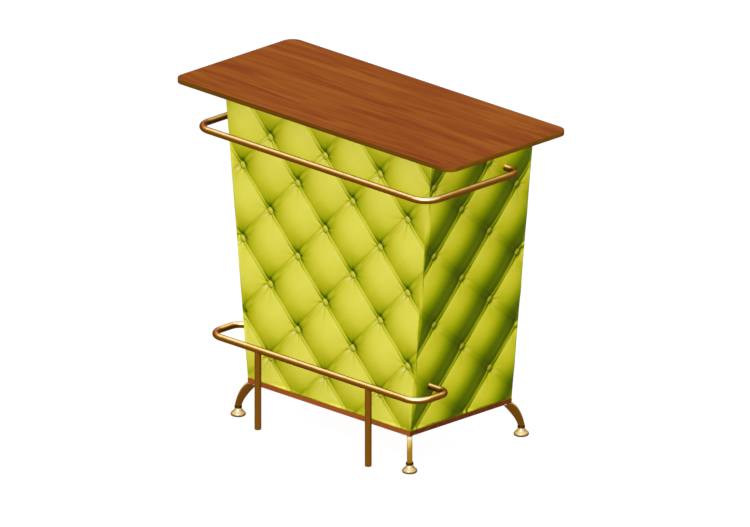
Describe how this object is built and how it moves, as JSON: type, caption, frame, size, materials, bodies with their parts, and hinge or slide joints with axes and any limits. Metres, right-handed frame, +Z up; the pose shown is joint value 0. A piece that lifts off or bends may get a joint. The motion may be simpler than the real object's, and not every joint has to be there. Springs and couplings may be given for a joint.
{
  "type": "home bar cabinet",
  "caption": "Free-standing home bar with tufted front and leaning ends, wooden worktop, brass hand and foot rails, bell feet, and rear shelves over a cupboard with sliding doors.",
  "frame": {"origin": "on the floor, under the middle of the whole cabinet's box", "axes": "+X along the worktop to the customer's right, +Y from the customer's side to the barkeeper's side, +Z up"},
  "size_m": [1.25, 0.5999, 1.1],
  "materials": {
    "cherry_board": "satin lacquered cherry veneer",
    "edge_banding": "dark stained edge strip",
    "leatherette": "soft satin leatherette, button tufted",
    "brass": "polished lacquered brass",
    "dark_brass": "dark aged brass",
    "zinc_steel": "zinc plated",
    "brown_plastic": "moulded brown plastic"
  },
  "bodies": {
    "cabinet": {"worktop": "cherry_board", "bottom_board": "cherry_board", "front_board": "cherry_board", "left_end_board": "cherry_board", "right_end_board": "cherry_board", "fixed_shelf": "cherry_board", "adjustable_shelf": "cherry_board", "front_top_rail": "cherry_board", "rear_top_rail": "cherry_board", "worktop_edge_band": "edge_banding", "front_pad": "leatherette", "left_pad": "leatherette", "right_pad": "leatherette", "hand_rail": "brass", "foot_rail": "brass", "left_post": "brass", "right_post": "brass", "leg_front_left": "brass", "leg_front_right": "brass", "leg_rear_left": "brass", "leg_rear_right": "brass", "leg_collar_front_left": "dark_brass", "leg_collar_front_right": "dark_brass", "leg_collar_rear_left": "dark_brass", "leg_collar_rear_right": "dark_brass", "leg_plate_front_left": "zinc_steel", "leg_plate_front_right": "zinc_steel", "leg_plate_rear_left": "zinc_steel", "leg_plate_rear_right": "zinc_steel", "shelf_pin_front_left": "zinc_steel", "shelf_pin_front_right": "zinc_steel", "shelf_pin_rear_left": "zinc_steel", "shelf_pin_rear_right": "zinc_steel", "hand_rail_bolt_left": "zinc_steel", "hand_rail_bolt_right": "zinc_steel", "hand_rail_plug_left": "zinc_steel", "hand_rail_plug_right": "zinc_steel", "foot_rail_bolt_left": "zinc_steel", "foot_rail_bolt_right": "zinc_steel", "foot_rail_plug_left": "zinc_steel", "foot_rail_plug_right": "zinc_steel", "left_post_glide": "brown_plastic", "right_post_glide": "brown_plastic", "lower_door_track": "brown_plastic", "upper_door_track": "brown_plastic"},
    "left_door": {"left_door": "cherry_board", "left_door_pull": "brass"},
    "right_door": {"right_door": "cherry_board", "right_door_pull": "brass"},
    "foot_front_left": {"bell_foot_front_left": "brass", "levelling_stud_front_left": "zinc_steel"},
    "foot_front_right": {"bell_foot_front_right": "brass", "levelling_stud_front_right": "zinc_steel"},
    "foot_rear_left": {"bell_foot_rear_left": "brass", "levelling_stud_rear_left": "zinc_steel"},
    "foot_rear_right": {"bell_foot_rear_right": "brass", "levelling_stud_rear_right": "zinc_steel"}
  },
  "joints": [
    {"name": "left_door_slide", "type": "slide", "parent": "cabinet", "child": "left_door", "axis": [1, 0, 0], "range_m": [0, 0.312]},
    {"name": "right_door_slide", "type": "slide", "parent": "cabinet", "child": "right_door", "axis": [-1, 0, 0], "range_m": [0, 0.312]},
    {"name": "foot_screw_front_left", "type": "slide", "parent": "cabinet", "child": "foot_front_left", "axis": [0, 0, -1], "range_m": [0, 0.01]},
    {"name": "foot_screw_front_right", "type": "slide", "parent": "cabinet", "child": "foot_front_right", "axis": [0, 0, -1], "range_m": [0, 0.01]},
    {"name": "foot_screw_rear_left", "type": "slide", "parent": "cabinet", "child": "foot_rear_left", "axis": [0, 0, -1], "range_m": [0, 0.01]},
    {"name": "foot_screw_rear_right", "type": "slide", "parent": "cabinet", "child": "foot_rear_right", "axis": [0, 0, -1], "range_m": [0, 0.01]}
  ]
}
